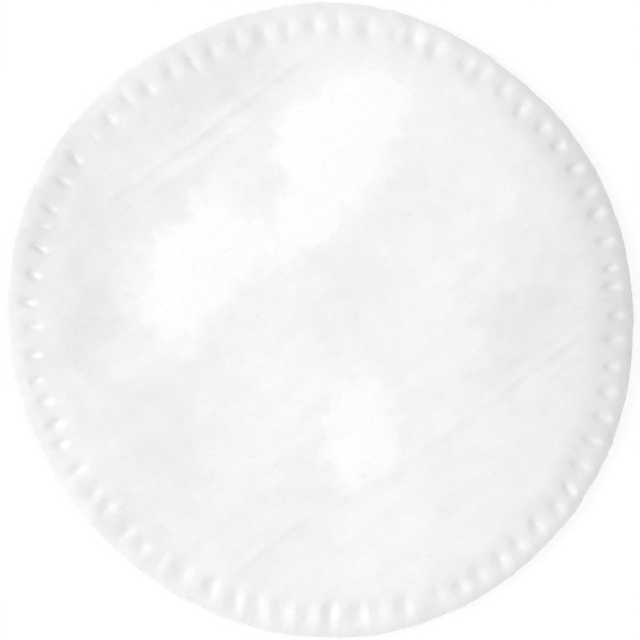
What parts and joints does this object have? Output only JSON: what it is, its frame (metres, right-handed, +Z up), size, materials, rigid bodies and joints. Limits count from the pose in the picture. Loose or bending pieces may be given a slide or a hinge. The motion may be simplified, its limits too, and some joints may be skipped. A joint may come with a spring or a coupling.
{
  "type": "cotton pad",
  "caption": "Round cosmetic cotton pad, soft and slightly domed, its rim pressed thin and gathered by short radial marks on both faces.",
  "frame": {"origin": "middle of the flat underside that the pad rests on, centred on the outline's box", "axes": "+Z up through the thickness, away from the surface it lies on; +X and +Y to the right and up in the picture"},
  "size_m": [0.0566, 0.0574, 0.0035],
  "materials": {
    "cotton": "matt white nonwoven cotton, faintly streaked"
  },
  "bodies": {
    "root": {"cotton_pad": "cotton"}
  },
  "joints": []
}
